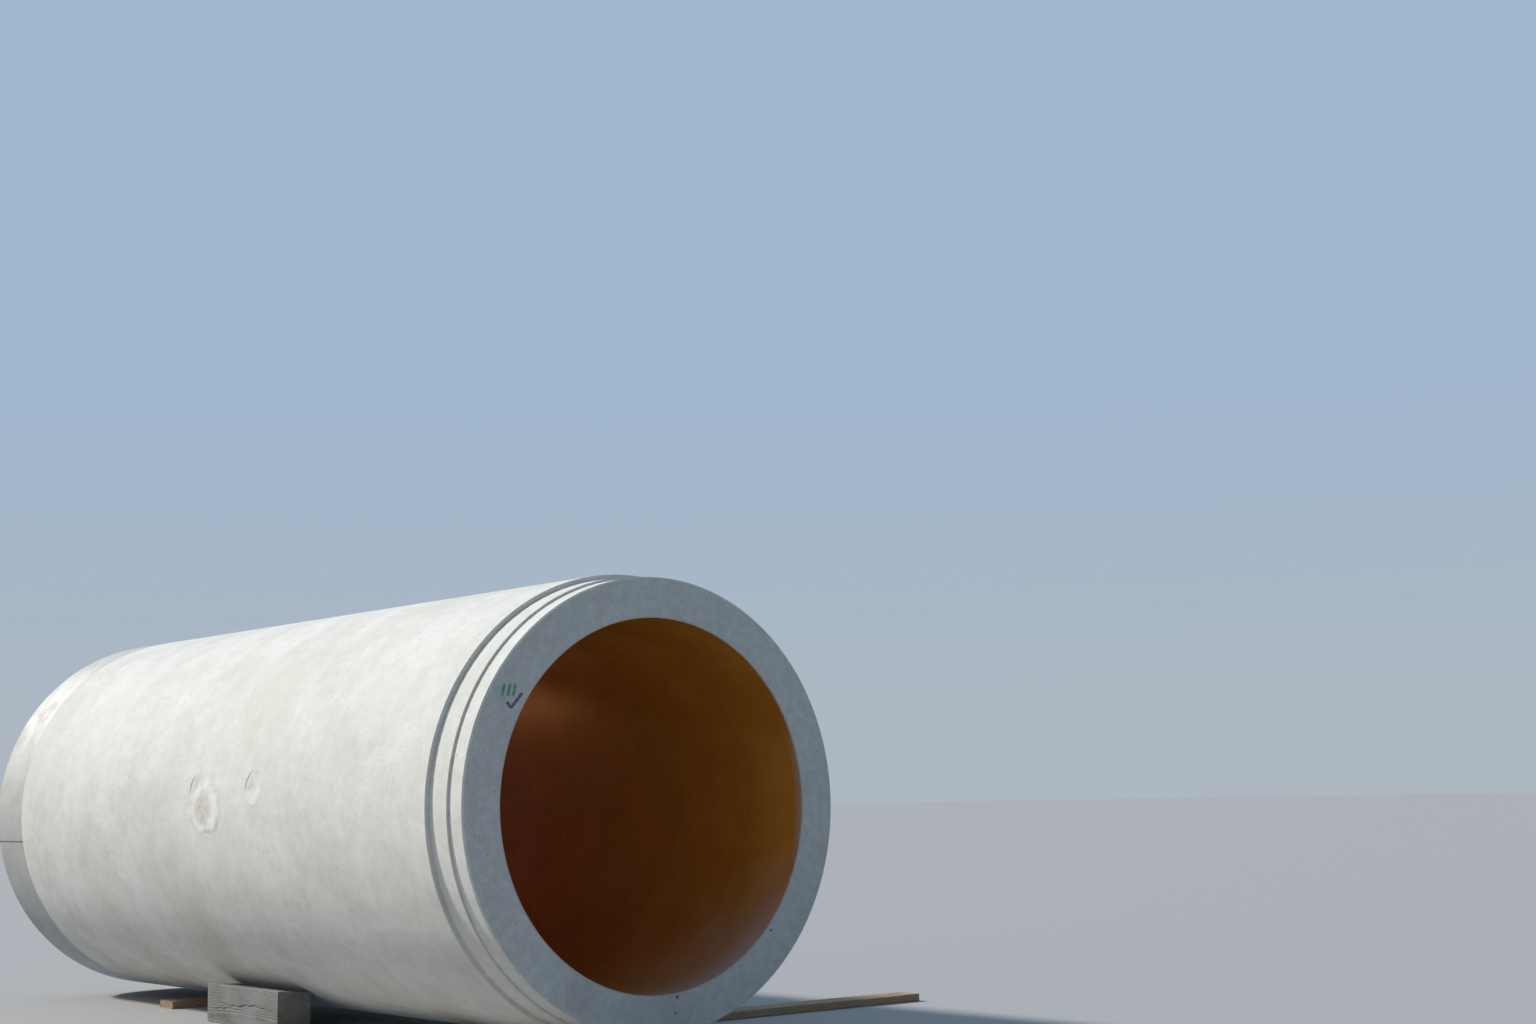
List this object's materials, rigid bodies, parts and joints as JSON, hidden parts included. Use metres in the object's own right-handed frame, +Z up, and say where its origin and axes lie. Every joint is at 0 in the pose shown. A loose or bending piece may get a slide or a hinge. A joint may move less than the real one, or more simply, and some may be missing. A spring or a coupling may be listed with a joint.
{
  "type": "concrete pipe",
  "caption": "Lined concrete jacking pipe with a stepped spigot and a steel collar, lying on two flat timber bearers with a timber chock at its side.",
  "frame": {"origin": "centre of the spigot's end face, on the axis of the bore", "axes": "+Y along the pipe from the spigot to the collar, +X to the right of someone who looks into the spigot, +Z up; the bearers and the chock stand on the floor 0.655 m below the origin"},
  "size_m": [2.105, 3.146, 1.285],
  "materials": {
    "concrete": "smooth cast concrete, pale grey with faint blotches and small air holes",
    "lining": "glossy amber resin with a fine woven mesh under it, dusty along the bottom",
    "collar_steel": "plain rolled stainless steel band, a little dull",
    "bearer_timber": "rough sawn softwood, weathered",
    "chock_timber": "rough sawn timber, weathered grey, with drying cracks"
  },
  "bodies": {
    "root": {"concrete_pipe": "concrete", "inner_lining": "lining", "steel_collar": "collar_steel", "front_bearer": "bearer_timber", "rear_bearer": "bearer_timber", "chock": "chock_timber"}
  },
  "joints": []
}
